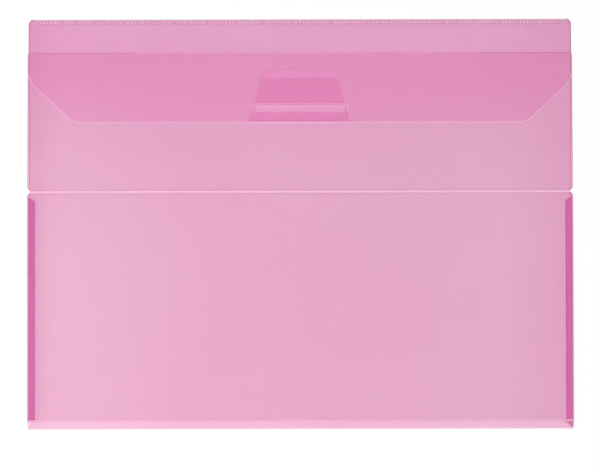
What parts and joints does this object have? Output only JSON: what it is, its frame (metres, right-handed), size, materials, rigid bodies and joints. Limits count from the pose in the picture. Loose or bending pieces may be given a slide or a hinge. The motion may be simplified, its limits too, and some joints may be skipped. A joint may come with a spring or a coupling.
{
  "type": "document carry case",
  "caption": "Slim translucent document case with a tuck-tongue flap on a knurled crease, a creased front leaf, V-folded side gussets and a sloping bottom wall.",
  "frame": {"origin": "middle of the closed case, on the surface that its back lies on", "axes": "+X to the right as seen from the front, along the longest side; +Y towards the folded top edge; +Z out of the front, through the thinnest side"},
  "size_m": [0.32, 0.241, 0.006],
  "materials": {
    "case_sheet": "translucent polypropylene sheet, fine matt emboss",
    "crease_sheet": "translucent polypropylene, pressed thin and paler at the crease",
    "gusset_sheet": "translucent polypropylene sheet, folded and welded"
  },
  "bodies": {
    "back": {"back_panel": "case_sheet", "back_bottom_crease": "crease_sheet", "flap_hinge_strip": "crease_sheet", "gusset_left_back_flange": "gusset_sheet", "gusset_left_back_fold": "gusset_sheet", "gusset_right_back_flange": "gusset_sheet", "gusset_right_back_fold": "gusset_sheet"},
    "flap": {"flap_panel": "case_sheet", "tongue_fold": "crease_sheet"},
    "tongue": {"tongue_root": "case_sheet", "tongue_blade": "case_sheet"},
    "front": {"front_lower_panel": "case_sheet", "front_bottom_crease": "crease_sheet", "gusset_left_front_flange": "gusset_sheet", "gusset_left_front_fold": "gusset_sheet", "gusset_right_front_flange": "gusset_sheet", "gusset_right_front_fold": "gusset_sheet"},
    "front_crease_band": {"front_crease": "crease_sheet"},
    "front_upper": {"front_upper_panel": "case_sheet"},
    "wall": {"bottom_wall": "case_sheet"},
    "gusset_left_back": {"gusset_left_back_leaf": "gusset_sheet", "gusset_left_inner_fold": "gusset_sheet"},
    "gusset_left_front": {"gusset_left_front_leaf": "gusset_sheet"},
    "gusset_right_back": {"gusset_right_back_leaf": "gusset_sheet", "gusset_right_inner_fold": "gusset_sheet"},
    "gusset_right_front": {"gusset_right_front_leaf": "gusset_sheet"}
  },
  "joints": [
    {"name": "flap_fold", "type": "hinge", "parent": "back", "child": "flap", "pos_m": [0, 0.1205, 0.00075], "axis": [-1, 0, 0], "range_deg": [0, 175.9], "deforming": ["flap_hinge_strip", "tongue_blade"]},
    {"name": "tongue_fold", "type": "hinge", "parent": "flap", "child": "tongue", "pos_m": [0, 0.05995, 0.00501], "axis": [-1, 0, 0], "range_deg": [0, 88], "deforming": ["tongue_fold"]},
    {"name": "pocket_depth", "type": "slide", "parent": "back", "child": "front", "axis": [0, 0.6166, -0.7872], "range_m": [0, 0.0019], "deforming": ["front_bottom_crease"]},
    {"name": "crease_sink", "type": "hinge", "parent": "back", "child": "front_crease_band", "pos_m": [0, 0.10016, 0.06922], "axis": [1, 0, 0], "range_deg": [0, 1.06]},
    {"name": "mouth_fold", "type": "hinge", "parent": "front_crease_band", "child": "front_upper", "pos_m": [0, 0.01965, 0.006], "axis": [1, 0, 0], "range_deg": [0, 35.2]},
    {"name": "wall_fold", "type": "hinge", "parent": "back", "child": "wall", "pos_m": [0, -0.11975, 0.00075], "axis": [-1, 0, 0], "range_deg": [0, 17.9]},
    {"name": "gusset_left_back_fold", "type": "hinge", "parent": "back", "child": "gusset_left_back", "pos_m": [-0.15925, 0, 0.00125], "axis": [0, 1, 0], "range_deg": [0, 12.8]},
    {"name": "gusset_left_front_fold", "type": "hinge", "parent": "front", "child": "gusset_left_front", "pos_m": [-0.15925, 0, 0.00475], "axis": [0, -1, 0], "range_deg": [0, 12.8]},
    {"name": "gusset_right_back_fold", "type": "hinge", "parent": "back", "child": "gusset_right_back", "pos_m": [0.15925, 0, 0.00125], "axis": [0, -1, 0], "range_deg": [0, 12.8]},
    {"name": "gusset_right_front_fold", "type": "hinge", "parent": "front", "child": "gusset_right_front", "pos_m": [0.15925, 0, 0.00475], "axis": [0, 1, 0], "range_deg": [0, 12.8]}
  ],
  "couplings": [
    {"joint": "tongue_fold", "follows": "flap_fold", "ratio": 0.5},
    {"joint": "mouth_fold", "follows": "flap_fold", "ratio": 0.2},
    {"joint": "crease_sink", "follows": "pocket_depth", "rad_per_m": 9.7},
    {"joint": "wall_fold", "follows": "pocket_depth", "rad_per_m": 163.1},
    {"joint": "gusset_left_back_fold", "follows": "pocket_depth", "rad_per_m": 116.9},
    {"joint": "gusset_left_front_fold", "follows": "pocket_depth", "rad_per_m": 116.9},
    {"joint": "gusset_right_back_fold", "follows": "pocket_depth", "rad_per_m": 116.9},
    {"joint": "gusset_right_front_fold", "follows": "pocket_depth", "rad_per_m": 116.9}
  ]
}
